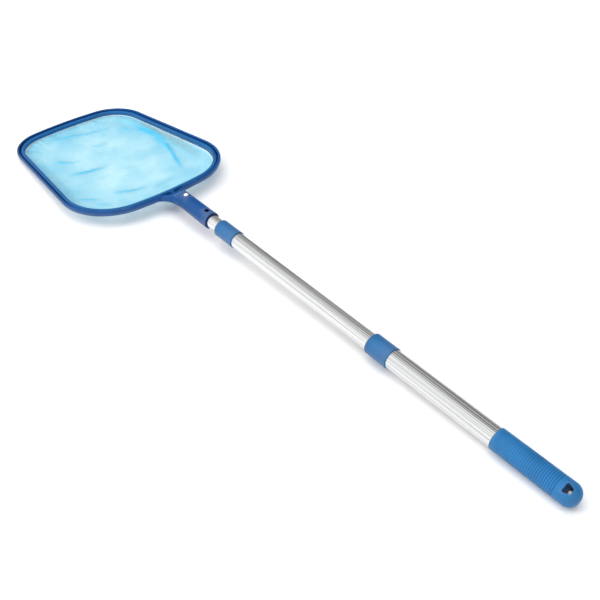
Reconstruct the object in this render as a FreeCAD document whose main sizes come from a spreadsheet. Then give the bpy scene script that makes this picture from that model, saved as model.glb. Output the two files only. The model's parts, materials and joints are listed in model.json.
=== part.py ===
import FreeCAD, Part
import math
import os
import Sketcher

# Leaf skimmer net on a three-section telescopic pole, in millimetres.
# Pole frame, in which the pieces are drawn: X runs along the pole from the head towards
# the grip, Z is up and the pole's axis is Z = 0. The finished pieces are then laid on the
# floor as the object rests: on the far edge of its head and on the end of its grip.
# Head frame: the plane of the rim's groove, tilted to the pole, with its origin on the
# middle line, just inside the near side of the groove; W below means height above it.

DOC = FreeCAD.newDocument("leaf_skimmer_net")
SHEET = DOC.addObject("Spreadsheet::Sheet", "dims")

DIMENSIONS = [
    # sections of the pole
    ("outer_radius", 12.5),
    ("outer_start", 368.0),
    ("outer_end", 636.0),
    ("middle_radius", 11.0),
    ("middle_start", 76.0),
    ("middle_end", 395.0),
    ("inner_radius", 9.5),
    ("inner_start", -13.6),
    ("inner_end", 345.0),
    ("tube_wall", 1.0),
    ("flute_radius", 0.8),
    ("flute_depth", 0.3),
    ("outer_flutes", 28),
    ("middle_flutes", 26),
    ("inner_flutes", 22),
    # collars at the mouths of the outer and middle sections
    ("collar_lip", 4.4),
    ("lip_clearance", 0.1),
    ("collar_round", 2.2),
    ("lower_collar_radius", 13.9),
    ("lower_collar_end", 397.8),
    ("upper_collar_radius", 12.2),
    ("upper_collar_end", 107.5),
    ("upper_collar_round", 1.6),
    # grip
    ("grip_start", 553.5),
    ("grip_end", 661.5),
    ("grip_front_radius", 13.6),
    ("grip_end_radius", 14.2),
    ("grip_front_round", 0.9),
    ("grip_dome", 12.6),
    ("grip_roll", 26.0),
    ("rib_start", 559.0),
    ("rib_pitch", 2.85),
    ("rib_count", 28),
    ("rib_depth", 0.4),
    ("rib_half_width", 1.6),
    ("hang_front", 643.8),
    ("hang_back", 653.2),
    ("hang_front_half", 6.4),
    ("hang_back_half", 3.8),
    ("hang_round", 1.6),
    # twist locks: an eccentric journal on each spindle spreads a split ring in the bore
    ("lower_plug_start", 383.0),
    ("upper_plug_start", 333.0),
    ("plug_clearance", 0.05),
    ("spindle_flange", 2.0),
    ("flange_clearance", 0.25),
    ("cam_length", 14.6),
    ("cam_end_clearance", 0.3),
    ("cam_bore_clearance", 0.1),
    ("lower_journal_radius", 6.0),
    ("lower_throw", 1.4),
    ("upper_journal_radius", 4.8),
    ("upper_throw", 1.1),
    ("journal_clearance", 0.2),
    ("cap_length", 3.0),
    ("cam_slot", 3.0),
    # spring clip that locks the head on the pole
    ("button_place", -7.6),
    ("spare_hole_place", 41.2),
    ("button_radius", 3.1),
    ("button_foot", 7.0),
    ("button_top", 12.4),
    ("button_round", 0.9),
    ("tube_hole_radius", 3.4),
    ("socket_hole_radius", 3.6),
    ("clip_leg", 0.9),
    ("clip_half_height", 6.9),
    ("clip_front", -12.4),
    ("clip_bend", 3.0),
    ("clip_apex", 34.0),
    ("clip_width", 6.0),
    # socket and neck of the head, in the pole frame
    ("socket_mouth", 51.2),
    ("socket_mouth_radius", 12.3),
    ("socket_neck", -24.0),
    ("socket_neck_radius", 11.4),
    ("socket_bore", 10.6),
    ("socket_floor", -14.0),
    ("nose_start", -44.0),
    ("nose_radius", 10.6),
    ("slope_top_along", -15.6),
    ("slope_top_height", 10.9),
    ("slope_foot_along", -37.6),
    ("slope_foot_height", -2.8),
    ("slope_reach", 10.0),
    # rim of the head, in the head frame
    ("head_along", -50.8),
    ("head_height", -4.0),
    ("head_tilt", 5.17),
    ("corner_side", 50.0),
    ("near_corner_along", -73.3),
    ("near_corner_radius", 74.0),
    ("near_edge_radius", 521.5),
    ("far_corner_along", -236.4),
    ("far_corner_radius", 54.5),
    ("far_edge_radius", 518.5),
    ("rim_bottom", -7.5),
    ("rim_top", 1.9),
    ("rim_inside", 2.0),
    ("rim_outside", 5.6),
    ("rim_round", 1.7),
    ("skirt_top", -2.6),
    ("foot_outside", 3.0),
    ("ledge_inside", -6.2),
    ("ledge_top", -5.9),
    ("ring_inside", -6.0),
    ("ring_outside", -0.4),
    ("ring_bottom", -4.8),
    ("ring_top", 0.2),
    ("ring_round", 1.8),
    ("hem_inside", -5.6),
    ("hem_outside", -0.8),
    ("hem_bottom", -5.8),
    ("hem_top", -4.9),
    # yoke between the rim and the socket, in the head frame
    ("yoke_back", -2.0),
    ("yoke_inset", 2.6),
    ("yoke_top", 1.2),
    ("yoke_round_along", 29.8),
    ("yoke_round_side", 36.5),
    ("yoke_round_radius", 27.5),
    ("yoke_front", 36.5),
    ("pocket_start", 3.2),
    ("pocket_rib_half", 2.4),
    ("pocket_deep_along", 14.0),
    ("pocket_bend_side", 8.5),
    ("pocket_bend_along", 11.5),
    ("pocket_end_side", 20.0),
    ("pocket_end_along", 7.0),
    ("pocket_floor", -5.0),
    # net: a shallow bag that hangs from the rim and lies on the floor
    ("net_thickness", 0.8),
    ("net_edge", -5.65),
    ("net_turn", -6.7),
    ("net_floor_inset", -30.0),
    ("net_floor_height", 0.7),
]

ORIGIN = FreeCAD.Vector(0, 0, 0)
UP = FreeCAD.Vector(0, 0, 1)


def fill_sheet():
    """Write each driving dimension to its own named cell."""
    for row, (alias, value) in enumerate(DIMENSIONS, start=1):
        SHEET.set("A%d" % row, alias)
        SHEET.set("B%d" % row, str(value))
        SHEET.setAlias("B%d" % row, alias)
    DOC.recompute()


def value_of(expression):
    """Number that an expression in the sheet's names works out to."""
    return float(SHEET.evalExpression(expression))


def bound(expression):
    """The same expression with each of the sheet's names written as dims.name."""
    words = []
    for word in expression.split(" "):
        if word.replace("_", "").isalpha():
            word = "dims." + word
        words.append(word)
    return " ".join(words)


def origin_feature(body, role):
    """Plane or axis of the body's own origin."""
    return [item for item in body.Origin.OriginFeatures if item.Role == role][0]


def new_sketch(body, name, role, offset=None):
    """Sketch on one of the body's origin planes, moved along its normal by offset."""
    sketch = body.newObject("Sketcher::SketchObject", name)
    sketch.AttachmentSupport = (origin_feature(body, role), [""])
    sketch.MapMode = "FlatFace"
    if offset:
        sketch.setExpression("AttachmentOffset.Base.z", bound(offset))
    return sketch


def drive(sketch, kind, expression, *places):
    """Add one dimension to the sketch and bind it to the sheet."""
    index = sketch.addConstraint(Sketcher.Constraint(kind, *places, value_of(expression)))
    name = "size_%d" % index
    sketch.renameConstraint(index, name)
    sketch.setExpression("Constraints." + name, bound(expression))


def add_polygon(sketch, corners):
    """Closed polygon whose corners are pairs of expressions."""
    points = [FreeCAD.Vector(value_of(a), value_of(b), 0) for a, b in corners]
    first = sketch.GeometryCount
    count = len(points)
    for number in range(count):
        sketch.addGeometry(Part.LineSegment(points[number], points[(number + 1) % count]))
    for number in range(count):
        following = first + (number + 1) % count
        sketch.addConstraint(Sketcher.Constraint("Coincident", first + number, 2, following, 1))
    for number, (along, across) in enumerate(corners):
        drive(sketch, "DistanceX", along, -1, 1, first + number, 1)
        drive(sketch, "DistanceY", across, -1, 1, first + number, 1)


def add_circle(sketch, radius, along="0", across="0"):
    """Circle whose centre and radius are expressions."""
    centre = FreeCAD.Vector(value_of(along), value_of(across), 0)
    index = sketch.addGeometry(Part.Circle(centre, UP, value_of(radius)))
    drive(sketch, "Radius", radius, index)
    if (along, across) == ("0", "0"):
        sketch.addConstraint(Sketcher.Constraint("Coincident", index, 3, -1, 1))
        return
    for kind, expression, axis in (("DistanceX", along, -2), ("DistanceY", across, -1)):
        if expression == "0":
            sketch.addConstraint(Sketcher.Constraint("PointOnObject", index, 3, axis))
        else:
            drive(sketch, kind, expression, -1, 1, index, 3)


def new_body(label):
    body = DOC.addObject("PartDesign::Body", label)
    body.Label = label
    return body


def add_pad(body, sketch, length):
    pad = body.newObject("PartDesign::Pad", sketch.Name + "_pad")
    pad.Profile = sketch
    pad.setExpression("Length", bound(length))
    DOC.recompute()
    return pad


def add_cut(body, sketch, length=None, reverse=False, midplane=False):
    """Pocket that must take material away, through everything unless it has a length."""
    before = body.Shape.Volume
    cut = body.newObject("PartDesign::Pocket", sketch.Name + "_cut")
    cut.Profile = sketch
    cut.Reversed = reverse
    cut.Midplane = midplane
    if length is None:
        cut.Type = "ThroughAll"
    else:
        cut.setExpression("Length", bound(length))
    DOC.recompute()
    if not body.Shape.Volume < before - 0.01:
        raise RuntimeError(cut.Name + " takes nothing away")
    return cut


def add_revolution(body, sketch, axis):
    turned = body.newObject("PartDesign::Revolution", sketch.Name + "_turned")
    turned.Profile = sketch
    turned.ReferenceAxis = (sketch, [axis])
    turned.Angle = 360
    DOC.recompute()
    return turned


def round_edges(body, names, radius):
    """Fillet on named edges or faces of the body's last feature."""
    base = body.Tip
    fillet = body.newObject("PartDesign::Fillet", body.Name + "_round")
    fillet.Base = (base, names)
    fillet.setExpression("Radius", bound(radius))
    DOC.recompute()
    return fillet


def circles_at(shape, axis, station, radius):
    """Names of the full circles of one radius, centred on an axis, at one station."""
    names = []
    for number, edge in enumerate(shape.Edges, start=1):
        if not isinstance(edge.Curve, Part.Circle):
            continue
        place = getattr(edge.Curve.Center, axis)
        if abs(edge.Curve.Radius - radius) < 1e-4 and abs(place - station) < 1e-4:
            names.append("Edge%d" % number)
    return names


def turned_body(label, profile):
    """Body turned about the pole's axis from a profile of (along, radius) expressions."""
    body = new_body(label)
    sketch = new_sketch(body, label + "_profile", "XZ_Plane")
    add_polygon(sketch, profile)
    add_revolution(body, sketch, "H_Axis")
    return body


def fluted_tube(label, section, radius):
    """Drawn tube with shallow flutes all round its outside."""
    start = section + "_start"
    body = new_body(label)
    ring = new_sketch(body, label + "_ring", "YZ_Plane", start)
    add_circle(ring, radius)
    add_circle(ring, radius + " - tube_wall")
    add_pad(body, ring, section + "_end - " + start)
    flute = new_sketch(body, label + "_flute", "YZ_Plane", start)
    add_circle(flute, "flute_radius", "0", radius + " + flute_radius - flute_depth")
    cut = add_cut(body, flute, reverse=True)
    pattern = body.newObject("PartDesign::PolarPattern", label + "_flutes")
    pattern.Originals = [cut]
    pattern.Axis = (origin_feature(body, "X_Axis"), [""])
    pattern.Angle = 360
    pattern.setExpression("Occurrences", "dims." + section + "_flutes")
    body.Tip = pattern
    DOC.recompute()
    return body


def drill_across(body, places, radius):
    """Holes right through a tube, along Z, one pair of walls at each place."""
    holes = new_sketch(body, body.Name + "_holes", "XY_Plane")
    for place in places:
        add_circle(holes, radius, place, "0")
    add_cut(body, holes, midplane=True)


def inner_tube():
    body = fluted_tube("inner_tube", "inner", "inner_radius")
    drill_across(body, ["button_place", "spare_hole_place"], "tube_hole_radius")
    return body


def collar(label, tube_start, tube_radius, running_radius, outside, end, rounding):
    """Guide collar: it sleeves one tube and its lip guides the thinner one."""
    front = tube_start + " - collar_lip"
    lip = running_radius + " + lip_clearance"
    profile = [(front, lip), (tube_start, lip), (tube_start, tube_radius),
               (end, tube_radius), (end, outside), (front, outside)]
    body = turned_body(label, profile)
    edges = circles_at(body.Shape, "x", value_of(front), value_of(outside))
    round_edges(body, edges, rounding)
    return body


def add_grip_ribs(body):
    """Fine ring grooves along the grip, as one groove repeated at the rib pitch."""
    deep = "grip_front_radius - rib_depth"
    clear = "grip_end_radius + rib_depth"
    sketch = new_sketch(body, "grip_rib_profile", "XZ_Plane")
    add_polygon(sketch, [("rib_start - rib_half_width", clear), ("rib_start", deep),
                         ("rib_start + rib_half_width", clear)])
    before = body.Shape.Volume
    groove = body.newObject("PartDesign::Groove", "grip_groove")
    groove.Profile = sketch
    groove.ReferenceAxis = (sketch, ["H_Axis"])
    groove.Angle = 360
    DOC.recompute()
    if not body.Shape.Volume < before:
        raise RuntimeError("the grip's groove takes nothing away")
    pattern = body.newObject("PartDesign::LinearPattern", "grip_grooves")
    pattern.Originals = [groove]
    pattern.Direction = (origin_feature(body, "X_Axis"), [""])
    pattern.setExpression("Length", bound("rib_pitch * ( rib_count - 1 )"))
    pattern.setExpression("Occurrences", "dims.rib_count")
    body.Tip = pattern
    DOC.recompute()


def grip():
    """Moulded grip with a domed end, ring grooves and a hanging hole right through it."""
    profile = [("grip_start", "outer_radius"), ("outer_end + 0.5", "outer_radius"),
               ("outer_end + 0.5", "0"), ("grip_end", "0"),
               ("grip_end", "grip_end_radius"), ("grip_start", "grip_front_radius")]
    body = turned_body("grip", profile)
    end = circles_at(body.Shape, "x", value_of("grip_end"), value_of("grip_end_radius"))
    round_edges(body, end, "grip_dome")
    front = circles_at(body.Shape, "x", value_of("grip_start"), value_of("grip_front_radius"))
    round_edges(body, front, "grip_front_round")
    add_grip_ribs(body)
    hole = new_sketch(body, "hang_hole", "XY_Plane")
    add_polygon(hole, [("hang_front", "0 - hang_front_half"), ("hang_back", "0 - hang_back_half"),
                       ("hang_back", "hang_back_half"), ("hang_front", "hang_front_half")])
    add_cut(body, hole, midplane=True)
    round_edges(body, hang_hole_corners(body.Shape), "hang_round")
    body.Placement = turned_about_pole(value_of("grip_roll"))
    return body


def hang_hole_corners(shape):
    """Names of the straight edges that run through the grip along its hanging hole."""
    names = []
    for number, edge in enumerate(shape.Edges, start=1):
        ends = [vertex.Point for vertex in edge.Vertexes]
        if len(ends) == 2 and (ends[1] - ends[0]).cross(UP).Length < 1e-6:
            if ends[0].x > value_of("hang_front") - 0.01 and edge.Length > 5:
                names.append("Edge%d" % number)
    return names


def turned_about_pole(degrees):
    return FreeCAD.Placement(ORIGIN, FreeCAD.Rotation(FreeCAD.Vector(1, 0, 0), degrees))


def cam_spindle(label, section, bore, throw, journal):
    """Plug in the tube's end, flange, eccentric journal and the cap that keeps the ring."""
    start = section + "_plug_start"
    end = section_end(section)
    flange = end + " + spindle_flange"
    profile = [(start, "0"), (start, bore + " - plug_clearance"),
               (end, bore + " - plug_clearance"),
               (end, bore + " + tube_wall - flange_clearance"),
               (flange, bore + " + tube_wall - flange_clearance"), (flange, "0")]
    body = turned_body(label, profile)
    pin = new_sketch(body, label + "_journal", "YZ_Plane", flange)
    add_circle(pin, journal, throw, "0")
    add_pad(body, pin, "cam_length")
    cap = new_sketch(body, label + "_cap", "YZ_Plane", flange + " + cam_length")
    add_circle(cap, bore + " - 1")
    add_pad(body, cap, "cap_length")
    return body


def cam_ring(label, section, next_bore, throw, journal):
    """Split ring round the journal, just clear of the bore that it grips when spread."""
    start = section_end(section) + " + spindle_flange + cam_end_clearance"
    length = "cam_length - 2 * cam_end_clearance"
    body = new_body(label)
    ring = new_sketch(body, label + "_ring", "YZ_Plane", start)
    add_circle(ring, next_bore + " - cam_bore_clearance")
    add_circle(ring, journal + " + " + throw + " + journal_clearance")
    add_pad(body, ring, length)
    slot = new_sketch(body, label + "_slot", "YZ_Plane", start)
    add_polygon(slot, [("cam_slot / 2", "0"), ("cam_slot / 2", next_bore + " + 1"),
                       ("0 - cam_slot / 2", next_bore + " + 1"), ("0 - cam_slot / 2", "0")])
    add_cut(body, slot, length, reverse=True)
    return body


def section_end(section):
    """Rear end of the tube that a twist lock's spindle is fixed in."""
    return {"lower": "middle_end", "upper": "inner_end"}[section]


def clip_spring():
    """V-shaped leaf spring inside the inner tube, with one leg under each button."""
    out = "clip_half_height"
    mid = "clip_half_height - clip_leg"
    upper = [("clip_front", mid), ("clip_front", out), ("clip_bend", out),
             ("clip_apex - 2", "1.5"), ("clip_apex", "0.6")]
    lower = [("clip_apex", "0 - 0.6"), ("clip_apex - 2", "0 - 1.5"), ("clip_bend", "0 - " + out),
             ("clip_front", "0 - " + out), ("clip_front", "clip_leg - " + out)]
    inside = [("clip_bend - 0.3", "clip_leg - " + out), ("clip_apex - 4", "0 - 0.7"),
              ("clip_apex - 4", "0.7"), ("clip_bend - 0.3", mid)]
    body = new_body("clip_spring")
    sketch = new_sketch(body, "clip_outline", "XZ_Plane")
    add_polygon(sketch, upper + lower + inside)
    pad = add_pad(body, sketch, "clip_width")
    pad.Midplane = True
    DOC.recompute()
    return body


def clip_button(label, roll):
    """Domed locking button that stands through the tube and the socket."""
    body = new_body(label)
    sketch = new_sketch(body, label + "_profile", "XZ_Plane")
    add_polygon(sketch, [("0", "button_foot"), ("button_radius", "button_foot"),
                         ("button_radius", "button_top"), ("0", "button_top")])
    add_revolution(body, sketch, "V_Axis")
    top = circles_at(body.Shape, "z", value_of("button_top"), value_of("button_radius"))
    round_edges(body, top, "button_round")
    along = FreeCAD.Placement(FreeCAD.Vector(value_of("button_place"), 0, 0), FreeCAD.Rotation())
    body.Placement = turned_about_pole(roll).multiply(along)
    return body


def head_frame_to_pole():
    """Placement of the head frame in the pole frame."""
    place = FreeCAD.Vector(value_of("head_along"), 0, value_of("head_height"))
    tilt = FreeCAD.Rotation(FreeCAD.Vector(0, 1, 0), -value_of("head_tilt"))
    return FreeCAD.Placement(place, tilt)


def end_arc_centre(corner_along, corner_radius, edge_radius, outward):
    """Centre, on the middle line, of the flat end arc that is tangent to two corners."""
    side = value_of("corner_side")
    reach = math.sqrt((edge_radius - corner_radius) ** 2 - side ** 2)
    return FreeCAD.Vector(corner_along - outward * reach, 0, 0)


def outline_joints(offset):
    """Centres of the rim's outline and the points where its arcs and sides meet.

    Only the half at +Y is given: the other half is its mirror image in the middle line.
    """
    side = value_of("corner_side")
    near_radius = value_of("near_corner_radius")
    far_radius = value_of("far_corner_radius")
    near = FreeCAD.Vector(value_of("near_corner_along"), side, 0)
    far = FreeCAD.Vector(value_of("far_corner_along"), side, 0)
    near_edge = end_arc_centre(near.x, near_radius, value_of("near_edge_radius"), 1)
    far_edge = end_arc_centre(far.x, far_radius, value_of("far_edge_radius"), -1)
    lean = math.asin((near_radius - far_radius) / (near.x - far.x))
    outward = FreeCAD.Vector(-math.sin(lean), math.cos(lean), 0)
    near_way = (near - near_edge).normalize()
    far_way = (far - far_edge).normalize()
    return {
        "near_edge": near_edge,
        "far_edge": far_edge,
        "near": near,
        "far": far,
        "near_joint": near + near_way * (near_radius + offset),
        "near_side": near + outward * (near_radius + offset),
        "far_side": far + outward * (far_radius + offset),
        "far_joint": far + far_way * (far_radius + offset),
    }


def mirrored(point):
    return FreeCAD.Vector(point.x, -point.y, point.z)


def arc_between(centre, start, end):
    """Arc about a centre, anticlockwise from start to end, less than half a turn."""
    radius = (start - centre).Length
    first = math.atan2(start.y - centre.y, start.x - centre.x)
    last = math.atan2(end.y - centre.y, end.x - centre.x)
    if last < first:
        last += 2 * math.pi
    return Part.ArcOfCircle(Part.Circle(centre, UP, radius), first, last)


def outline_curves(offset):
    """The rim's outline, anticlockwise, moved outwards by offset."""
    place = outline_joints(offset)
    near_low = mirrored(place["near_joint"])
    side_low = mirrored(place["near_side"])
    far_low = mirrored(place["far_joint"])
    back_low = mirrored(place["far_side"])
    return [
        arc_between(place["near_edge"], near_low, place["near_joint"]),
        arc_between(place["near"], place["near_joint"], place["near_side"]),
        Part.LineSegment(place["near_side"], place["far_side"]),
        arc_between(place["far"], place["far_side"], place["far_joint"]),
        arc_between(place["far_edge"], place["far_joint"], far_low),
        arc_between(mirrored(place["far"]), far_low, back_low),
        Part.LineSegment(back_low, side_low),
        arc_between(mirrored(place["near"]), side_low, near_low),
    ]


def add_outline(sketch, offset):
    """Rim's outline in a sketch: tangent arcs and sides, driven by the sheet."""
    curves = outline_curves(value_of(offset))
    first = sketch.GeometryCount
    count = len(curves)
    sketch.addGeometry(curves, False)
    for number in range(count):
        following = first + (number + 1) % count
        sketch.addConstraint(Sketcher.Constraint("Tangent", first + number, 2, following, 1))
    corners = [(1, "near", "corner_side"), (3, "far", "corner_side"),
               (5, "far", "0 - corner_side"), (7, "near", "0 - corner_side")]
    for number, end, side in corners:
        drive(sketch, "DistanceX", end + "_corner_along", -1, 1, first + number, 3)
        drive(sketch, "DistanceY", side, -1, 1, first + number, 3)
        drive(sketch, "Radius", end + "_corner_radius + " + offset, first + number)
    drive(sketch, "Radius", "near_edge_radius + " + offset, first)
    drive(sketch, "Radius", "far_edge_radius + " + offset, first + 4)


def add_hoop(body, name, outside, inside, bottom, top):
    """Flat hoop between two offsets of the outline and two heights."""
    sketch = new_sketch(body, name, "XY_Plane", bottom)
    add_outline(sketch, outside)
    add_outline(sketch, inside)
    return add_pad(body, sketch, top + " - " + in_brackets(bottom))


def in_brackets(expression):
    return "( " + expression + " )"


def round_top(body, height, radius):
    """Fillet every edge of the body's level face at one height."""
    names = []
    for number, face in enumerate(body.Shape.Faces, start=1):
        box = face.BoundBox
        if box.ZLength < 1e-6 and abs(box.ZMax - value_of(height)) < 1e-6:
            names.append("Face%d" % number)
    return round_edges(body, names, radius)


def rim_crown():
    """Upright upper part of the rim's wall, with its rounded top."""
    body = new_body("rim_crown")
    add_hoop(body, "crown_outline", "rim_outside", "rim_inside", "skirt_top", "rim_top")
    round_top(body, "rim_top", "rim_round")
    body.Placement = head_frame_to_pole()
    return body


def rim_skirt():
    """Lower part of the rim's wall, which slopes inwards to its foot."""
    head = head_frame_to_pole()
    foot = outline_wire(value_of("foot_outside"), head, value_of("rim_bottom"))
    brim = outline_wire(value_of("rim_outside"), head, value_of("skirt_top"))
    height = value_of("skirt_top - rim_bottom")
    inside = Part.Face(outline_wire(value_of("rim_inside"), head, value_of("rim_bottom")))
    bore = inside.extrude(head.Rotation.multVec(UP) * height)
    feature = DOC.addObject("Part::Feature", "rim_skirt")
    feature.Shape = Part.makeLoft([foot, brim], True, True).cut(bore)
    return feature


def rim_ledge():
    """Flat ledge that the net's edge lies on."""
    body = new_body("rim_ledge")
    add_hoop(body, "ledge_outline", "rim_inside", "ledge_inside", "rim_bottom", "ledge_top")
    body.Placement = head_frame_to_pole()
    return body


def add_yoke_outline(sketch):
    """Web between rim and socket, whose two sides are round hollows."""
    along = value_of("yoke_round_along")
    side = value_of("yoke_round_side")
    radius = value_of("yoke_round_radius")
    back = value_of("yoke_back")
    front = value_of("yoke_front")
    low = FreeCAD.Vector(along, -side, 0)
    high = FreeCAD.Vector(along, side, 0)
    left = FreeCAD.Vector(-radius, 0, 0)
    inner = FreeCAD.Vector(0, radius, 0)
    points = [FreeCAD.Vector(back, -side, 0), low + left, low + inner,
              FreeCAD.Vector(front, radius - side, 0), FreeCAD.Vector(front, side - radius, 0),
              high - inner, high + left, FreeCAD.Vector(back, side, 0)]
    sketch.addGeometry(Part.LineSegment(points[0], points[1]))
    sketch.addGeometry(Part.ArcOfCircle(Part.Circle(low, UP, radius), math.pi / 2, math.pi))
    sketch.addGeometry(Part.LineSegment(points[2], points[3]))
    sketch.addGeometry(Part.LineSegment(points[3], points[4]))
    sketch.addGeometry(Part.LineSegment(points[4], points[5]))
    sketch.addGeometry(Part.ArcOfCircle(Part.Circle(high, UP, radius), math.pi, math.pi * 1.5))
    sketch.addGeometry(Part.LineSegment(points[6], points[7]))
    sketch.addGeometry(Part.LineSegment(points[7], points[0]))
    joints = [(0, 2, 1, 2), (1, 1, 2, 1), (2, 2, 3, 1), (3, 2, 4, 1),
              (4, 2, 5, 2), (5, 1, 6, 1), (6, 2, 7, 1), (7, 2, 0, 1)]
    for joint in joints:
        sketch.addConstraint(Sketcher.Constraint("Coincident", *joint))
    for line in (0, 2, 4, 6):
        sketch.addConstraint(Sketcher.Constraint("Horizontal", line))
    for line in (3, 7):
        sketch.addConstraint(Sketcher.Constraint("Vertical", line))
    for number, place in ((1, "0 - yoke_round_side"), (5, "yoke_round_side")):
        drive(sketch, "DistanceX", "yoke_round_along", -1, 1, number, 3)
        drive(sketch, "DistanceY", place, -1, 1, number, 3)
        drive(sketch, "Radius", "yoke_round_radius", number)
    for arc, level_end, plumb_end in ((1, 2, 1), (5, 1, 2)):
        sketch.addConstraint(Sketcher.Constraint("Horizontal", arc, 3, arc, level_end))
        sketch.addConstraint(Sketcher.Constraint("Vertical", arc, 3, arc, plumb_end))
    drive(sketch, "DistanceX", "yoke_back", -1, 1, 0, 1)
    drive(sketch, "DistanceX", "yoke_front", -1, 1, 3, 1)


def yoke_web():
    """Web from the rim's bottom up, with rounded upper edges along its hollows."""
    body = new_body("yoke_web")
    sketch = new_sketch(body, "yoke_outline", "XY_Plane", "rim_bottom")
    add_yoke_outline(sketch)
    add_pad(body, sketch, "yoke_top - " + in_brackets("rim_bottom"))
    sides = circles_at(body.Shape, "z", value_of("yoke_top"), value_of("yoke_round_radius"))
    round_edges(body, sides, "rim_round")
    opening = new_sketch(body, "yoke_opening", "XY_Plane", "rim_bottom")
    add_outline(opening, "yoke_inset")
    add_cut(body, opening, reverse=True)
    body.Placement = head_frame_to_pole()
    return body


def yoke_pockets():
    """Two recesses behind the ring, either side of the middle rib, as solids to cut."""
    body = new_body("yoke_pockets")
    sketch = new_sketch(body, "pocket_outlines", "XY_Plane", "pocket_floor")
    for sign in ("", "0 - "):
        add_polygon(sketch, [("pocket_start", sign + "pocket_rib_half"),
                             ("pocket_deep_along", sign + "pocket_rib_half"),
                             ("pocket_bend_along", sign + "pocket_bend_side"),
                             ("pocket_end_along", sign + "pocket_end_side"),
                             ("pocket_start", sign + "pocket_end_side")])
    add_pad(body, sketch, "10")
    body.Placement = head_frame_to_pole()
    return body


def socket():
    """Tapered tube that takes the pole, with its solid nose cut to a slope."""
    profile = [("socket_mouth", "socket_bore"), ("socket_mouth", "socket_mouth_radius"),
               ("socket_neck", "socket_neck_radius"), ("nose_start", "nose_radius"),
               ("nose_start", "0"), ("socket_floor", "0"), ("socket_floor", "socket_bore")]
    body = turned_body("socket", profile)
    slope = new_sketch(body, "socket_slope", "XZ_Plane")
    rise = "( slope_top_height - slope_foot_height ) / ( slope_top_along - slope_foot_along )"
    high = "slope_top_height + slope_reach * " + rise
    past_nose = "nose_start - slope_reach"
    add_polygon(slope, [("slope_top_along + slope_reach", high),
                        ("slope_foot_along", "slope_foot_height"),
                        (past_nose, "slope_foot_height - 1"), (past_nose, high)])
    add_cut(body, slope, midplane=True)
    drill_across(body, ["button_place", "spare_hole_place"], "socket_hole_radius")
    return body


def combined(kind, name, base, tool):
    """Boolean of two objects, refined so that level faces run through."""
    result = DOC.addObject("Part::" + kind, name)
    result.Base = base
    result.Tool = tool
    result.Refine = True
    DOC.recompute()
    return result


def head_frame():
    """Rim, yoke and socket: one moulding."""
    wall = combined("Fuse", "rim_wall", rim_crown(), rim_skirt())
    rim = combined("Fuse", "rim", wall, rim_ledge())
    yoked = combined("Fuse", "rim_and_yoke", rim, yoke_web())
    solid = combined("Fuse", "head_solid", yoked, socket())
    return combined("Cut", "head_frame", solid, yoke_pockets())


def net_clamp_ring():
    """Inner ring that holds the net's hem down on the ledge."""
    body = new_body("net_clamp_ring")
    add_hoop(body, "ring_outline", "ring_outside", "ring_inside", "ring_bottom", "ring_top")
    round_top(body, "ring_top", "ring_round")
    body.Placement = head_frame_to_pole()
    return body


def net_hem():
    """Doubled edge of the net, in the gap between the ledge and the ring."""
    body = new_body("net_hem")
    add_hoop(body, "hem_outline", "hem_outside", "hem_inside", "hem_bottom", "hem_top")
    body.Placement = head_frame_to_pole()
    return body


def outline_wire(offset, placement, height):
    """Wire of the outline, at a height above the plane that the placement gives."""
    wire = Part.Wire([curve.toShape() for curve in outline_curves(offset)])
    wire.Placement = placement.multiply(FreeCAD.Placement(FreeCAD.Vector(0, 0, height),
                                                          FreeCAD.Rotation()))
    return wire


def floor_under_head(lay):
    """Placement, in the pole frame, of the outline laid flat on the floor."""
    origin = lay.multiply(head_frame_to_pole()).multVec(ORIGIN)
    flat = FreeCAD.Placement(FreeCAD.Vector(origin.x, 0, 0), FreeCAD.Rotation())
    return lay.inverse().multiply(flat)


def net(lay):
    """The net as one closed shallow bag: a flat edge, sloping sides and a level bottom."""
    head = head_frame_to_pole()
    floor = floor_under_head(lay)
    thick = value_of("net_thickness")
    turn = value_of("net_turn")
    inset = value_of("net_floor_inset")
    low = value_of("net_floor_height")
    top = value_of("hem_top")
    edge = Part.Face(outline_wire(value_of("net_edge"), head, top - thick))
    normal = head.Rotation.multVec(UP)
    rim = edge.extrude(normal * thick)
    outer = Part.makeLoft([outline_wire(turn, head, top),
                           outline_wire(inset, floor, low)], True, True)
    inner = Part.makeLoft([outline_wire(turn - thick, head, top),
                           outline_wire(inset - thick, floor, low + thick)], True, True)
    lip = Part.Face(outline_wire(turn - thick, head, top - thick)).extrude(normal * thick * 2)
    feature = DOC.addObject("Part::Feature", "net")
    feature.Shape = rim.cut(lip).fuse(outer.cut(inner)).removeSplitter()
    return feature


def resting_placement():
    """Lays the pole frame on the floor, on the head's far edge and the grip's end."""
    far = end_arc_centre(value_of("far_corner_along"), value_of("far_corner_radius"),
                         value_of("far_edge_radius"), -1)
    reach = value_of("far_edge_radius + foot_outside")
    edge = FreeCAD.Vector(far.x - reach, 0, value_of("rim_bottom"))
    head_point = head_frame_to_pole().multVec(edge)
    grip_point = FreeCAD.Vector(value_of("grip_end - grip_dome"), 0, -value_of("grip_end_radius"))
    run = grip_point - head_point
    angle = math.degrees(math.atan2(run.z, run.x))
    turn = FreeCAD.Rotation(FreeCAD.Vector(0, 1, 0), angle)
    left = turn.multVec(head_point)
    right = turn.multVec(FreeCAD.Vector(value_of("grip_end"), 0, 0))
    return FreeCAD.Placement(FreeCAD.Vector(-(left.x + right.x) / 2, 0, -left.z), turn)


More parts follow.
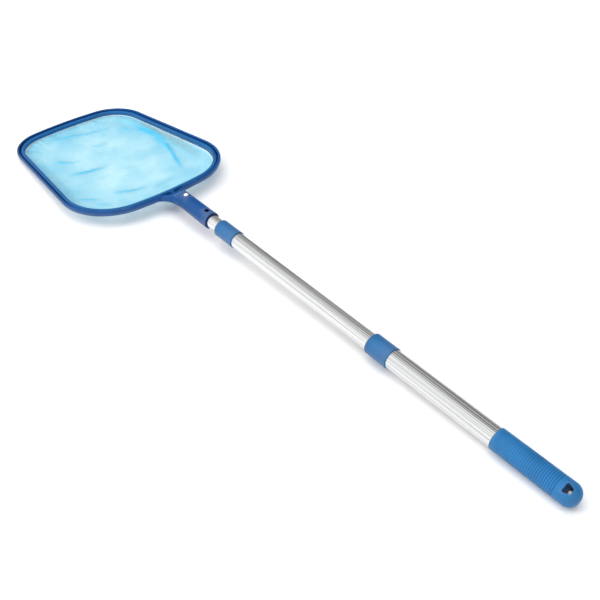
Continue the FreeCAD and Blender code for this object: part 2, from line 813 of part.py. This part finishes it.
def build_pieces(lay):
    """Every piece of the object, in the pole frame."""
    return [
        fluted_tube("outer_tube", "outer", "outer_radius"),
        fluted_tube("middle_tube", "middle", "middle_radius"),
        inner_tube(),
        collar("lower_collar", "outer_start", "outer_radius", "middle_radius",
               "lower_collar_radius", "lower_collar_end", "collar_round"),
        collar("upper_collar", "middle_start", "middle_radius", "inner_radius",
               "upper_collar_radius", "upper_collar_end", "upper_collar_round"),
        grip(),
        cam_spindle("lower_cam_spindle", "lower", "middle_radius - tube_wall",
                    "lower_throw", "lower_journal_radius"),
        cam_ring("lower_cam_ring", "lower", "outer_radius - tube_wall",
                 "lower_throw", "lower_journal_radius"),
        cam_spindle("upper_cam_spindle", "upper", "inner_radius - tube_wall",
                    "upper_throw", "upper_journal_radius"),
        cam_ring("upper_cam_ring", "upper", "middle_radius - tube_wall",
                 "upper_throw", "upper_journal_radius"),
        clip_spring(),
        clip_button("clip_button_top", 0),
        clip_button("clip_button_bottom", 180),
        head_frame(),
        net_clamp_ring(),
        net_hem(),
        net(lay),
    ]


def check(pieces):
    """Stop if any object failed or any piece has no sound shape."""
    for item in DOC.Objects:
        if "Invalid" in item.State or "Error" in item.State:
            raise RuntimeError(item.Label + " did not build")
    for piece in pieces:
        if piece.Shape.isNull() or not piece.Shape.isValid():
            raise RuntimeError(piece.Label + " has no sound shape")


def main():
    fill_sheet()
    lay = resting_placement()
    pieces = build_pieces(lay)
    for piece in pieces:
        piece.Placement = lay.multiply(piece.Placement)
    DOC.recompute()
    check(pieces)
    os.makedirs("parts", exist_ok=True)
    for piece in pieces:
        piece.Shape.exportStep("parts/" + piece.Label + ".step")


main()
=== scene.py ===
import json
import math

import bmesh
import bpy
import mathutils
import numpy as np
from mathutils import Matrix, Vector
from mathutils.bvhtree import BVHTree


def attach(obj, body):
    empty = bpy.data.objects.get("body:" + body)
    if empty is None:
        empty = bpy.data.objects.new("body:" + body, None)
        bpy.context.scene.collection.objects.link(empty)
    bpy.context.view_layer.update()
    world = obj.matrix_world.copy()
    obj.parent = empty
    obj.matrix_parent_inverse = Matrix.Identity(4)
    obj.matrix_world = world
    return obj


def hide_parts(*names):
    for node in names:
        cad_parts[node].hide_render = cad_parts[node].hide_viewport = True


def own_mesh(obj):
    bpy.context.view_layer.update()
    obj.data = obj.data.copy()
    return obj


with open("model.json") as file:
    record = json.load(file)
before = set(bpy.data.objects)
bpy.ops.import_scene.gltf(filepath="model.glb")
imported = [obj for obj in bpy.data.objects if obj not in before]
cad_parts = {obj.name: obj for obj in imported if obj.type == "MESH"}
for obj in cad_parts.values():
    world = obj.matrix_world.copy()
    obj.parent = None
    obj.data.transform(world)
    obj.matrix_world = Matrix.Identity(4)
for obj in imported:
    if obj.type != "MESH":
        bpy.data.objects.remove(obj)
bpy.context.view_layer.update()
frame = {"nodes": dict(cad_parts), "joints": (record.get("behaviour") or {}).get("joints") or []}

# Camera: a three-quarter view from the grip's side, with the pole running away to the left.
CAMERA_PLACE = Vector((0.73028, -0.59349, 0.75852))
CAMERA_AZIMUTH = math.radians(47.71)
CAMERA_ELEVATION = math.radians(40.52)
CAMERA_ROLL = math.radians(1.19)
CAMERA_LENS = 54.35
CAMERA_SENSOR = 36.0

# Studio
FLOOR_SIZE = 40.0
FLOOR_COLOUR = (0.93, 0.93, 0.93)
SKY_FRONT = 1.25
SKY_BACK = 0.24
MIDDLE = (0.0, 0.0, 0.0)
SOFTBOX_OVER = {"place": (-0.1, 0.1, 2.2), "size": 2.4, "power": 36.0}
SOFTBOX_SIDE = {"place": (-0.9, -1.6, 1.5), "size": 1.2, "power": 12.0}

# Colours, linear
ROYAL_BLUE = (0.002, 0.062, 0.225)
COLLAR_BLUE = (0.003, 0.106, 0.285)
GRIP_BLUE = (0.018, 0.145, 0.350)
RING_BLUE = (0.008, 0.100, 0.290)
NET_PALE = (0.440, 0.800, 0.900)
NET_DEEP = (0.050, 0.520, 0.800)
NET_GREY_BAND = (0.260, 0.470, 0.540)
SEAM_PALE = (0.780, 0.920, 0.960)
ALUMINIUM = (0.860, 0.865, 0.870)
ALUMINIUM_DULL = (0.640, 0.645, 0.650)
ALUMINIUM_LINE = (0.360, 0.360, 0.370)
NYLON_WHITE = (0.880, 0.880, 0.860)
CAM_GREY = (0.500, 0.510, 0.520)

# Moulded plastic: how often its tint, its gloss and its grain change, per metre, and how much
# of the paler colour its sharp edges get, a painted edge highlight with some wear
TINT_SCALE = 28.0
GLOSS_SCALE = 90.0
GRAIN_SCALE = 1600.0
GRAIN_DEPTH = 0.0002
EDGE_SHEEN_AND_WEAR = 0.35

# Drawn aluminium: the same along the tube, across it and across it, so its lines run along it
STREAK_SCALE = (3.0, 900.0, 900.0)
BAND_SCALE = (1.5, 420.0, 420.0)
SMEAR_SCALE = (12.0, 60.0, 60.0)
LINE_SHARE = 0.55

# Mesh: how solid one layer of it is where it lies single and where it is folded, in the greyer
# band and at its seam; the painted shade in its fold mark also makes it more solid
MESH_CLOUD_SCALE = 24.0
SINGLE_ALPHA = 0.36
DOUBLE_ALPHA = 0.74
THREAD_ALPHA = 0.08

# Net: a fine grid of points, laid out between four corners of the hem. The corners are
# directions in degrees from the pole's, seen from the middle of the head. The edge is found
# with EDGE_RAYS rays to each side of the hem, and HEM_GRIP is how far it reaches into it.
GRID_ALONG = 200
GRID_ACROSS = 170
NEAR_CORNER = 38.0
FAR_CORNER = 145.0
EDGE_RAYS = 240
HEM_GRIP = 0.0003
NET_THICKNESS = 0.00035
NET_LOW = 0.0012
WALL_REACH = 0.022
WALL_CURVE = 1.8
# Painted shade: within WALL_SHADE_REACH of the hem the net's colour deepens, by up to WALL_SHADE.
WALL_SHADE_REACH = 0.070
WALL_SHADE = 0.28
CALM_EDGE = 0.012
GATHERS = 58.0
GATHER_HEIGHT = 0.0011
# Painted shade: GATHER_SHADE deepens the net's colour in the gathers' troughs.
GATHER_SHADE = 0.22
GATHER_START = 0.004
GATHER_REACH = 0.015
HEAD_MIDDLE = -0.355
SEAM_WIDTH = 0.0026
SEAM_FADE = 0.001
WAVE_HEIGHT = 0.0012
WAVE_LIFT = 0.8
# Painted shade: WAVE_SHADE deepens the net's colour where its waves rise.
WAVE_SHADE = 0.12
RIPPLE_HEIGHT = 0.0004
THREAD_PITCH = 0.0011

# A fold's steep side, as a share of its width, and how blunt its ends are (1 is a plain sine)
STEEP_SIDE = 0.35
FOLD_BLUNT = 0.6

# Folds: shallow arcs in the row's frame, in millimetres and degrees from the X axis. A fold's
# middle lies on it, and bow is how far that stands to the left of the line between its ends.
# Its line is the half width of its colour. How much of the deep colour it has is deep, and
# grey, where there is one, is how much of the greyer band's colour it has.
FOLDS = [
    {"middle": (-465, -10), "length": 150, "heading": 75, "bow": -5,
     "height": 2.6, "width": 5.0, "line": 2.0, "deep": 0.75},
    {"middle": (-405, -60), "length": 45, "heading": 55, "bow": -5,
     "height": 2.2, "width": 4.0, "line": 2.0, "deep": 0.70},
    {"middle": (-360, -45), "length": 65, "heading": 75, "bow": -5,
     "height": 2.2, "width": 4.0, "line": 2.0, "deep": 0.75},
    {"middle": (-415, 10), "length": 30, "heading": 85, "bow": 0,
     "height": 1.4, "width": 5.0, "line": 3.0, "deep": 0.35},
    {"middle": (-395, 95), "length": 165, "heading": 0, "bow": 15,
     "height": 2.8, "width": 10.0, "line": 8.5, "deep": 0.72},
    {"middle": (-400, 90), "length": 75, "heading": 10, "bow": 0,
     "height": 1.6, "width": 5.0, "line": 5.0, "deep": 0.95},
    {"middle": (-325, 85), "length": 110, "heading": -15, "bow": 5,
     "height": 2.4, "width": 5.0, "line": 2.8, "deep": 1.00},
    {"middle": (-355, 105), "length": 155, "heading": 5, "bow": 5,
     "height": 0.8, "width": 5.0, "line": 5.0, "deep": 0.10, "grey": 1.00},
    {"middle": (-250, 95), "length": 50, "heading": -45, "bow": 5,
     "height": 1.6, "width": 4.0, "line": 2.2, "deep": 0.45},
    {"middle": (-240, 95), "length": 30, "heading": -45, "bow": 0,
     "height": 1.4, "width": 3.0, "line": 1.8, "deep": 0.45},
    {"middle": (-340, 105), "length": 50, "heading": 30, "bow": 5,
     "height": 2.0, "width": 6.0, "line": 5.0, "deep": 0.40},
    {"middle": (-275, -25), "length": 60, "heading": 70, "bow": -5,
     "height": 2.2, "width": 4.0, "line": 2.2, "deep": 0.70},
    {"middle": (-295, -85), "length": 40, "heading": 50, "bow": 0,
     "height": 2.0, "width": 4.0, "line": 2.0, "deep": 0.70},
    {"middle": (-270, -75), "length": 30, "heading": 45, "bow": 0,
     "height": 1.6, "width": 4.0, "line": 2.0, "deep": 0.55},
    {"middle": (-400, 90), "length": 160, "heading": 25, "bow": 15,
     "height": 1.2, "width": 12.0, "line": 10.0, "deep": 0.40},
    {"middle": (-265, 30), "length": 60, "heading": 90, "bow": 10,
     "height": 1.2, "width": 7.0, "line": 4.0, "deep": 0.28},
]
FOLD_STEPS = 73
MILLIMETRES = 1000.0


# ---------------------------------------------------------------- node helpers

def new_material(name):
    """Empty node material with its output node."""
    material = bpy.data.materials.new(name)
    material.use_nodes = True
    material.node_tree.nodes.clear()
    material.node_tree.nodes.new("ShaderNodeOutputMaterial")
    return material


def put(tree, socket, value):
    """Feed a socket from another socket, or give it a plain value."""
    if isinstance(value, bpy.types.NodeSocket):
        tree.links.new(value, socket)
    elif hasattr(value, "__len__") and len(value) == 3 and len(socket.default_value) == 4:
        socket.default_value = (*value, 1.0)
    else:
        socket.default_value = value


def add(tree, kind, settings=None, **inputs):
    """New node of a kind, with its settings and its inputs by name."""
    node = tree.nodes.new(kind)
    for key, value in (settings or {}).items():
        setattr(node, key, value)
    for key, value in inputs.items():
        put(tree, node.inputs[key.replace("_", " ")], value)
    return node


def maths(tree, operation, first, second=0.0, clamp=False):
    """Result of one sum on two sockets or values."""
    node = add(tree, "ShaderNodeMath", {"operation": operation, "use_clamp": clamp})
    put(tree, node.inputs[0], first)
    put(tree, node.inputs[1], second)
    return node.outputs[0]


def between(tree, value, low, high, new_low=0.0, new_high=1.0):
    """Value mapped from one range to another, held at its ends."""
    node = add(tree, "ShaderNodeMapRange", {"clamp": True}, Value=value)
    node.inputs["From Min"].default_value = low
    node.inputs["From Max"].default_value = high
    node.inputs["To Min"].default_value = new_low
    node.inputs["To Max"].default_value = new_high
    return node.outputs["Result"]


def mixed(tree, share, first, second):
    """Colour between two, by a share."""
    node = add(tree, "ShaderNodeMix", {"data_type": "RGBA"})
    put(tree, node.inputs["Factor"], share)
    put(tree, node.inputs[6], first)
    put(tree, node.inputs[7], second)
    return node.outputs[2]


def noise(tree, vector, scale, detail=4.0, roughness=0.55):
    """Cloudy noise from 0 to 1 at a place."""
    node = add(tree, "ShaderNodeTexNoise", Vector=vector, Scale=scale, Detail=detail,
               Roughness=roughness)
    return node.outputs["Fac"]


def object_place(tree):
    return add(tree, "ShaderNodeTexCoord").outputs["Object"]


def stretched(tree, vector, scale):
    """Place scaled along each axis by its own amount."""
    node = add(tree, "ShaderNodeMapping", {"vector_type": "POINT"}, Vector=vector)
    node.inputs["Scale"].default_value = scale
    return node.outputs["Vector"]


def bumped(tree, height, strength, distance):
    node = add(tree, "ShaderNodeBump", Height=height, Strength=strength, Distance=distance)
    return node.outputs["Normal"]


def finish_material(material, **inputs):
    """Principled surface from its inputs by name, joined to the output."""
    tree = material.node_tree
    surface = add(tree, "ShaderNodeBsdfPrincipled", **inputs)
    output = next(n for n in tree.nodes if n.type == "OUTPUT_MATERIAL")
    tree.links.new(surface.outputs["BSDF"], output.inputs["Surface"])
    return material


# ---------------------------------------------------------------- the object's own axes

def joint(name):
    return next(j for j in frame["joints"] if j["name"] == name)


POLE_WAY = Vector(joint("lower_slide")["axis"])
POLE_POINT = Vector(joint("lower_twist")["pos_m"])
POLE_LEAN = math.atan2(POLE_WAY.z, POLE_WAY.x)
POLE_UP = Vector((-POLE_WAY.z, 0.0, POLE_WAY.x))


def pole_place(tree):
    """Object coordinates turned so that X runs along the pole and its axis is Y = Z = 0."""
    shifted = add(tree, "ShaderNodeVectorMath", {"operation": "SUBTRACT"})
    tree.links.new(object_place(tree), shifted.inputs[0])
    shifted.inputs[1].default_value = POLE_POINT
    turned = add(tree, "ShaderNodeMapping", {"vector_type": "POINT"})
    tree.links.new(shifted.outputs[0], turned.inputs["Vector"])
    turned.inputs["Rotation"].default_value = (0.0, POLE_LEAN, 0.0)
    return turned.outputs["Vector"]


# ---------------------------------------------------------------- materials

def moulded_plastic(name, colour, roughness=0.38, grain=0.06):
    """Injection-moulded plastic: uneven tint, fine spark-eroded grain, and paler sharp edges, a
    painted edge highlight with some wear.
    """
    material = new_material(name)
    tree = material.node_tree
    place = object_place(tree)
    cloud = noise(tree, place, TINT_SCALE, 3.0)
    tint = mixed(tree, between(tree, cloud, 0.35, 0.65),
                 tuple(c * 0.90 for c in colour), tuple(min(1.0, c * 1.10) for c in colour))
    fine = noise(tree, place, GRAIN_SCALE, 2.0)
    # Painted edge highlight, with some wear: sharp edges get a share of a paler colour.
    edge = add(tree, "ShaderNodeNewGeometry").outputs["Pointiness"]
    sheen_and_wear = maths(tree, "MULTIPLY", between(tree, edge, 0.53, 0.60), EDGE_SHEEN_AND_WEAR)
    pale = tuple(c * 0.5 + 0.12 for c in colour)
    tint = mixed(tree, sheen_and_wear, tint, pale)
    patches = noise(tree, place, GLOSS_SCALE, 4.0)
    rough = between(tree, patches, 0.3, 0.7, roughness - 0.05, roughness + 0.07)
    return finish_material(material, Base_Color=tint, Roughness=rough, Specular_IOR_Level=0.3,
                           Normal=bumped(tree, fine, grain, GRAIN_DEPTH))


def drawn_aluminium():
    """Drawn tube: bright, with fine streaks and duller lines along its whole length."""
    material = new_material("drawn_aluminium")
    tree = material.node_tree
    place = pole_place(tree)
    streaks = noise(tree, stretched(tree, place, STREAK_SCALE), 1.0, 3.0)
    bands = noise(tree, stretched(tree, place, BAND_SCALE), 1.0, 1.0)
    cloud = noise(tree, stretched(tree, place, SMEAR_SCALE), 1.0, 3.0)
    tint = mixed(tree, between(tree, streaks, 0.3, 0.7), ALUMINIUM_DULL, ALUMINIUM)
    tint = mixed(tree, between(tree, bands, 0.52, 0.62, 0.0, LINE_SHARE), tint, ALUMINIUM_LINE)
    rough = maths(tree, "ADD", between(tree, streaks, 0.3, 0.7, 0.15, 0.26),
                  between(tree, cloud, 0.3, 0.7, -0.03, 0.05))
    height = maths(tree, "ADD", streaks, bands)
    return finish_material(material, Base_Color=tint, Metallic=1.0, Roughness=rough,
                           Normal=bumped(tree, height, 0.30, 0.0001))


def woven_mesh(name, pale, deep):
    """Fine knitted mesh: threads crossing about each millimetre, deeper where it folds and where
    painted shade is carried in its fold mark.
    """
    material = new_material(name)
    tree = material.node_tree
    place = object_place(tree)
    fold, grey_band, seam = [
        add(tree, "ShaderNodeAttribute", {"attribute_name": mark}).outputs["Fac"]
        for mark in ("fold", "grey_band", "seam")]
    cloud = between(tree, noise(tree, place, MESH_CLOUD_SCALE, 3.0), 0.35, 0.65, 0.0, 0.25)
    # The fold mark carries painted shade as well as the folds, so painted shade deepens the tint
    # and makes the mesh more solid.
    depth = maths(tree, "ADD", fold, cloud, clamp=True)
    tint = mixed(tree, depth, pale, deep)
    # A greyer band, where a fold is marked grey.
    tint = mixed(tree, grey_band, tint, NET_GREY_BAND)
    tint = mixed(tree, seam, tint, SEAM_PALE)
    threads = woven_height(tree, place)
    thickness_and_shade = maths(tree, "MAXIMUM", depth, maths(tree, "MAXIMUM", grey_band, seam))
    alpha = maths(tree, "ADD", between(tree, thickness_and_shade, 0.0, 1.0, SINGLE_ALPHA, DOUBLE_ALPHA),
                  between(tree, threads, 0.0, 1.0, -THREAD_ALPHA, THREAD_ALPHA), clamp=True)
    return finish_material(material, Base_Color=tint, Roughness=0.55, Alpha=alpha,
                           Normal=bumped(tree, threads, 0.35, 0.0002))


def woven_height(tree, place):
    """Height of crossed threads, from two sets of waves at right angles."""
    parts = add(tree, "ShaderNodeSeparateXYZ", Vector=place)
    pitch = 2 * math.pi / THREAD_PITCH
    warp = maths(tree, "SINE", maths(tree, "MULTIPLY", parts.outputs["X"], pitch))
    weft = maths(tree, "SINE", maths(tree, "MULTIPLY", parts.outputs["Y"], pitch))
    return maths(tree, "MAXIMUM", warp, weft)


def floor_material():
    """Plain pale floor, with hardly any gloss."""
    material = new_material("studio_floor")
    return finish_material(material, Base_Color=FLOOR_COLOUR, Roughness=0.9,
                           Specular_IOR_Level=0.1)


def wear(node, material):
    """Give a piece one material over all its faces."""
    node.data.materials.clear()
    node.data.materials.append(material)


# ---------------------------------------------------------------- the net

def hem_plane(hem):
    """Centre and two directions of the plane that the hem lies in."""
    points = np.array([vertex.co[:] for vertex in hem.data.vertices])
    mean = points.mean(axis=0)
    normal = np.linalg.svd(points - mean, full_matrices=False)[2][2]
    normal = normal * np.sign(normal[2])
    centre = (points.min(axis=0) + points.max(axis=0)) / 2
    centre[2] = mean[2] - (normal[0] / normal[2]) * (centre[0] - mean[0])
    across = np.array((0.0, 1.0, 0.0))
    along = np.cross(across, normal)
    return centre, along / np.linalg.norm(along), across


def hem_inside(hem, first, last, count):
    """Points on the hem's inner edge between two directions, at even steps along it."""
    centre, along, across = hem_plane(hem)
    tree = BVHTree.FromPolygons([v.co for v in hem.data.vertices],
                                [p.vertices for p in hem.data.polygons])
    points = []
    for angle in np.linspace(math.radians(first), math.radians(last), EDGE_RAYS):
        way = along * math.cos(angle) + across * math.sin(angle)
        hit = tree.ray_cast(Vector(centre), Vector(way))[0]
        points.append(np.array(hit) + way * HEM_GRIP)
    points = np.array(points)
    steps = np.linalg.norm(np.diff(points, axis=0), axis=1)
    run = np.concatenate(([0.0], np.cumsum(steps)))
    even = np.linspace(0.0, run[-1], count)
    return np.stack([np.interp(even, run, points[:, k]) for k in range(3)], axis=1)


def net_grid(hem):
    """Grid of points that spans the hem's inner edge, its rows across the pole, and that edge."""
    near = hem_inside(hem, -NEAR_CORNER, NEAR_CORNER, GRID_ACROSS)
    far = hem_inside(hem, 360.0 - FAR_CORNER, FAR_CORNER, GRID_ACROSS)
    low = hem_inside(hem, 360.0 - FAR_CORNER, 360.0 - NEAR_CORNER, GRID_ALONG)
    high = hem_inside(hem, FAR_CORNER, NEAR_CORNER, GRID_ALONG)
    u = np.linspace(0.0, 1.0, GRID_ALONG)[:, None, None]
    v = np.linspace(0.0, 1.0, GRID_ACROSS)[None, :, None]
    ruled = (1 - u) * far[None] + u * near[None] + (1 - v) * low[:, None] + v * high[:, None]
    corners = ((1 - u) * ((1 - v) * far[0] + v * far[-1])
               + u * ((1 - v) * near[0] + v * near[-1]))
    return ruled - corners, np.concatenate((near, far, low, high))[::2]


def fold_run(fold):
    """Points along one fold's arc, in metres."""
    heading = math.radians(fold["heading"])
    ahead = np.array((math.cos(heading), math.sin(heading)))
    left = np.array((-math.sin(heading), math.cos(heading)))
    t = np.linspace(-1.0, 1.0, FOLD_STEPS)[:, None]
    run = np.array(fold["middle"]) + ahead * t * fold["length"] / 2 - left * fold["bow"] * t ** 2
    return run / MILLIMETRES


def fold_shape(flat, fold):
    """Height that one fold gives each point of the net, and its line from 0 to 1."""
    run = fold_run(fold)
    gap = flat[:, None, :] - run[None]
    far = np.linalg.norm(gap, axis=2)
    nearest = far.argmin(axis=1)
    away = far.min(axis=1)
    way = np.gradient(run, axis=0)[nearest]
    side = gap[np.arange(len(flat)), nearest]
    steep = (way[:, 0] * side[:, 1] - way[:, 1] * side[:, 0]) < 0
    place = nearest / (len(run) - 1)
    ended = (nearest == 0) | (nearest == len(run) - 1)
    taper = np.where(ended, 0.0, np.sin(np.pi * np.clip(place, 0.0, 1.0)) ** FOLD_BLUNT)
    width = np.where(steep, fold["width"] * STEEP_SIDE, fold["width"]) / MILLIMETRES
    height = fold["height"] / MILLIMETRES * np.exp(-(away / width) ** 2) * taper
    line = np.exp(-(away / (fold["line"] / MILLIMETRES)) ** 2) * taper
    return height, line


def ripple(point, scale, seed):
    """Smooth noise over the floor, about -1 to 1. The seed picks which noise it is."""
    return mathutils.noise.noise(Vector((point[0] * scale, point[1] * scale, seed)))


def net_heights(grid, edge):
    """Height of each point of the bag, where it is folded, in the greyer band and sewn, and
    painted shade by its wall, where its waves rise and in its gathers' troughs, put into the fold
    mark.
    """
    flat = grid[:, :2]
    gaps = np.linalg.norm(flat[:, None, :] - edge[None, :, :2], axis=2)
    inward = gaps.min(axis=1)
    nearest = gaps.argmin(axis=1)
    share = np.clip(1.0 - inward / WALL_REACH, 0.0, 1.0) ** WALL_CURVE
    height = NET_LOW + (edge[nearest, 2] - NET_LOW) * share
    inner = np.clip(inward / CALM_EDGE, 0.0, 1.0)
    waves = np.array([ripple(p, 22.0, 3.1) + 0.5 * ripple(p, 55.0, 8.7) for p in flat])
    small = np.array([ripple(p, 110.0, 5.3) for p in flat])
    height = height + inner * (WAVE_HEIGHT * (waves + WAVE_LIFT) + RIPPLE_HEIGHT * small)
    gather = wall_gathers(edge[nearest], inward)
    height = height + GATHER_HEIGHT * gather
    # Painted shade: deeper colour near the wall, where the waves rise and in the gathers'
    # troughs, put into the fold mark.
    shaded = np.clip(1.0 - inward / WALL_SHADE_REACH, 0.0, 1.0)
    deep = WALL_SHADE * shaded + inner * WAVE_SHADE * np.clip(waves, 0.0, 1.0)
    deep = deep + GATHER_SHADE * np.clip(-gather, 0, 1)
    grey = np.zeros(len(flat))
    for fold in FOLDS:
        rise, line = fold_shape(flat, fold)
        height = height + rise * inner
        deep = np.maximum(deep, line * fold["deep"] * inner)
        grey = np.maximum(grey, line * fold.get("grey", 0.0))
    seam = np.clip((SEAM_WIDTH - inward) / SEAM_FADE, 0.0, 1.0)
    return height, {"fold": deep, "grey_band": grey, "seam": seam}


def wall_gathers(brim, inward):
    """Short creases that run down the bag's wall from its hem, from -1 to 1."""
    turn = np.arctan2(brim[:, 1], brim[:, 0] - HEAD_MIDDLE)
    drift = np.array([ripple((math.cos(a), math.sin(a)), 4.0, 1.7) for a in turn])
    size = np.array([ripple((math.cos(a), math.sin(a)), 6.0, 9.2) for a in turn])
    waves = np.sin(turn * GATHERS + 9.0 * drift)
    start = np.clip(inward / GATHER_START, 0.0, 1.0)
    reach = start * np.exp(-(inward / GATHER_REACH) ** 2)
    return waves * reach * np.clip(0.5 + 1.6 * size, 0.0, 1.0)


def net_mesh(grid, height, marks):
    """Thin closed sheet over the grid, with its folds and painted shade, its greyer band and its
    seam as attributes.
    """
    rows, columns = GRID_ALONG, GRID_ACROSS
    top = np.column_stack((grid[:, :2], height))
    sheet = top.reshape(rows, columns, 3)
    normal = np.cross(np.gradient(sheet, axis=0), np.gradient(sheet, axis=1)).reshape(-1, 3)
    normal /= np.linalg.norm(normal, axis=1)[:, None]
    normal *= np.sign(normal[:, 2:3])
    under = top - normal * NET_THICKNESS
    count = rows * columns
    faces = []
    for r in range(rows - 1):
        for c in range(columns - 1):
            a = r * columns + c
            quad = (a, a + columns, a + columns + 1, a + 1)
            faces.append(quad)
            faces.append(tuple(count + k for k in reversed(quad)))
    rim = ([c for c in range(columns)] + [r * columns + columns - 1 for r in range(1, rows)]
           + [(rows - 1) * columns + c for c in range(columns - 2, -1, -1)]
           + [r * columns for r in range(rows - 2, 0, -1)])
    for k, a in enumerate(rim):
        b = rim[(k + 1) % len(rim)]
        faces.append((a, b, count + b, count + a))
    mesh = bpy.data.meshes.new("net_bag")
    mesh.from_pydata(np.vstack((top, under)).tolist(), [], faces)
    for name, values in marks.items():
        mark = mesh.attributes.new(name, "FLOAT", "POINT")
        mark.data.foreach_set("value", np.tile(values, 2))
    mesh.polygons.foreach_set("use_smooth", [True] * len(mesh.polygons))
    mesh.update()
    return mesh


def net_bag(material):
    """The net itself: hung from its hem all round, slack enough to lie just above the floor."""
    hem = frame["nodes"]["net_hem"]
    grid, edge = net_grid(hem)
    grid = grid.reshape(-1, 3)
    height, marks = net_heights(grid, edge)
    bag = bpy.data.objects.new("net_bag", net_mesh(grid, height, marks))
    bpy.context.scene.collection.objects.link(bag)
    wear(bag, material)
    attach(bag, "head_section")
    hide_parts("net")


# ---------------------------------------------------------------- the spring clip

def clip_leg(name, side, material):
    """One half of the spring clip, cut from the clip's mesh on one side of the pole's axis. The
    real clip flexes inwards as its button is pressed.
    """
    outward = POLE_UP * side
    shape = bmesh.new()
    shape.from_mesh(frame["nodes"]["clip_spring"].data)
    bmesh.ops.remove_doubles(shape, verts=shape.verts, dist=1e-6)
    parts = list(shape.verts) + list(shape.edges) + list(shape.faces)
    cut = bmesh.ops.bisect_plane(shape, geom=parts, plane_co=POLE_POINT, plane_no=outward,
                                 clear_inner=True)
    open_edges = [part for part in cut["geom_cut"] if isinstance(part, bmesh.types.BMEdge)]
    bmesh.ops.holes_fill(shape, edges=open_edges)
    mesh = bpy.data.meshes.new(name)
    shape.to_mesh(mesh)
    shape.free()
    leg = bpy.data.objects.new(name, mesh)
    bpy.context.scene.collection.objects.link(leg)
    wear(leg, material)
    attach(leg, "head_section")
    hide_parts("clip_spring")
    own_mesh(leg)


# ---------------------------------------------------------------- studio

def studio():
    """Pale floor, a large softbox overhead, a weaker one at the side and a soft sky."""
    bpy.ops.mesh.primitive_plane_add(size=FLOOR_SIZE, location=MIDDLE)
    floor = bpy.context.active_object
    floor.name = "studio_floor"
    wear(floor, floor_material())
    soft_light("softbox_over", **SOFTBOX_OVER)
    soft_light("softbox_side", **SOFTBOX_SIDE)
    studio_sky()


def studio_sky():
    """Bright sky in front of the object, and a darker one behind it for the metal to show."""
    sky = bpy.data.worlds.new("studio_sky")
    bpy.context.scene.world = sky
    sky.use_nodes = True
    tree = sky.node_tree
    way = add(tree, "ShaderNodeTexCoord").outputs["Generated"]
    parts = add(tree, "ShaderNodeSeparateXYZ", Vector=way)
    level = between(tree, parts.outputs["Y"], -0.45, 0.42, SKY_FRONT, SKY_BACK)
    put(tree, tree.nodes["Background"].inputs["Color"], (1.0, 1.0, 1.0))
    put(tree, tree.nodes["Background"].inputs["Strength"], level)


def soft_light(name, place, size, power):
    """Square softbox aimed at the middle of the floor, unseen in reflections."""
    data = bpy.data.lights.new(name, "AREA")
    data.shape = "SQUARE"
    data.size = size
    data.energy = power
    light = bpy.data.objects.new(name, data)
    bpy.context.scene.collection.objects.link(light)
    light.location = place
    way = Vector(MIDDLE) - Vector(place)
    light.rotation_euler = way.to_track_quat("-Z", "Y").to_euler()
    light.visible_glossy = False


def camera():
    """Camera from its place, azimuth, elevation and roll."""
    flat = Vector((-math.sin(CAMERA_AZIMUTH), math.cos(CAMERA_AZIMUTH), 0.0))
    ahead = flat * math.cos(CAMERA_ELEVATION) - Vector((0, 0, 1)) * math.sin(CAMERA_ELEVATION)
    level = ahead.cross(Vector((0, 0, 1))).normalized()
    above = level.cross(ahead)
    right = level * math.cos(CAMERA_ROLL) + above * math.sin(CAMERA_ROLL)
    up = right.cross(ahead)
    data = bpy.data.cameras.new("camera")
    data.lens = CAMERA_LENS
    data.sensor_width = CAMERA_SENSOR
    eye = bpy.data.objects.new("camera", data)
    bpy.context.scene.collection.objects.link(eye)
    turn = Matrix((right, up, -ahead)).transposed().to_4x4()
    eye.matrix_world = Matrix.Translation(CAMERA_PLACE) @ turn
    bpy.context.scene.camera = eye


# ---------------------------------------------------------------- making it

def dress_nodes():
    """Give every CAD node its material."""
    royal = moulded_plastic("royal_plastic", ROYAL_BLUE)
    ring = moulded_plastic("ring_plastic", RING_BLUE, roughness=0.34)
    bright = moulded_plastic("collar_plastic", COLLAR_BLUE, roughness=0.36)
    soft = moulded_plastic("grip_plastic", GRIP_BLUE, roughness=0.46, grain=0.12)
    white = moulded_plastic("button_nylon", NYLON_WHITE, roughness=0.3)
    grey = moulded_plastic("cam_nylon", CAM_GREY, roughness=0.4)
    metal = drawn_aluminium()
    hem = woven_mesh("hem_mesh", NET_PALE, NET_DEEP)
    looks = {
        "head_frame": royal, "net_clamp_ring": ring, "net_hem": hem,
        "inner_tube": metal, "middle_tube": metal, "outer_tube": metal,
        "upper_collar": bright, "lower_collar": bright, "grip": soft,
        "clip_button_top": white, "clip_button_bottom": white,
    }
    for name, node in frame["nodes"].items():
        wear(node, looks.get(name, grey))


dress_nodes()
net_bag(woven_mesh("net_mesh", NET_PALE, NET_DEEP))
clip_white = moulded_plastic("clip_nylon", NYLON_WHITE, roughness=0.3)
clip_leg("clip_leg_top", 1, clip_white)
clip_leg("clip_leg_bottom", -1, clip_white)
studio()
camera()
bpy.context.scene.view_settings.view_transform = "Standard"
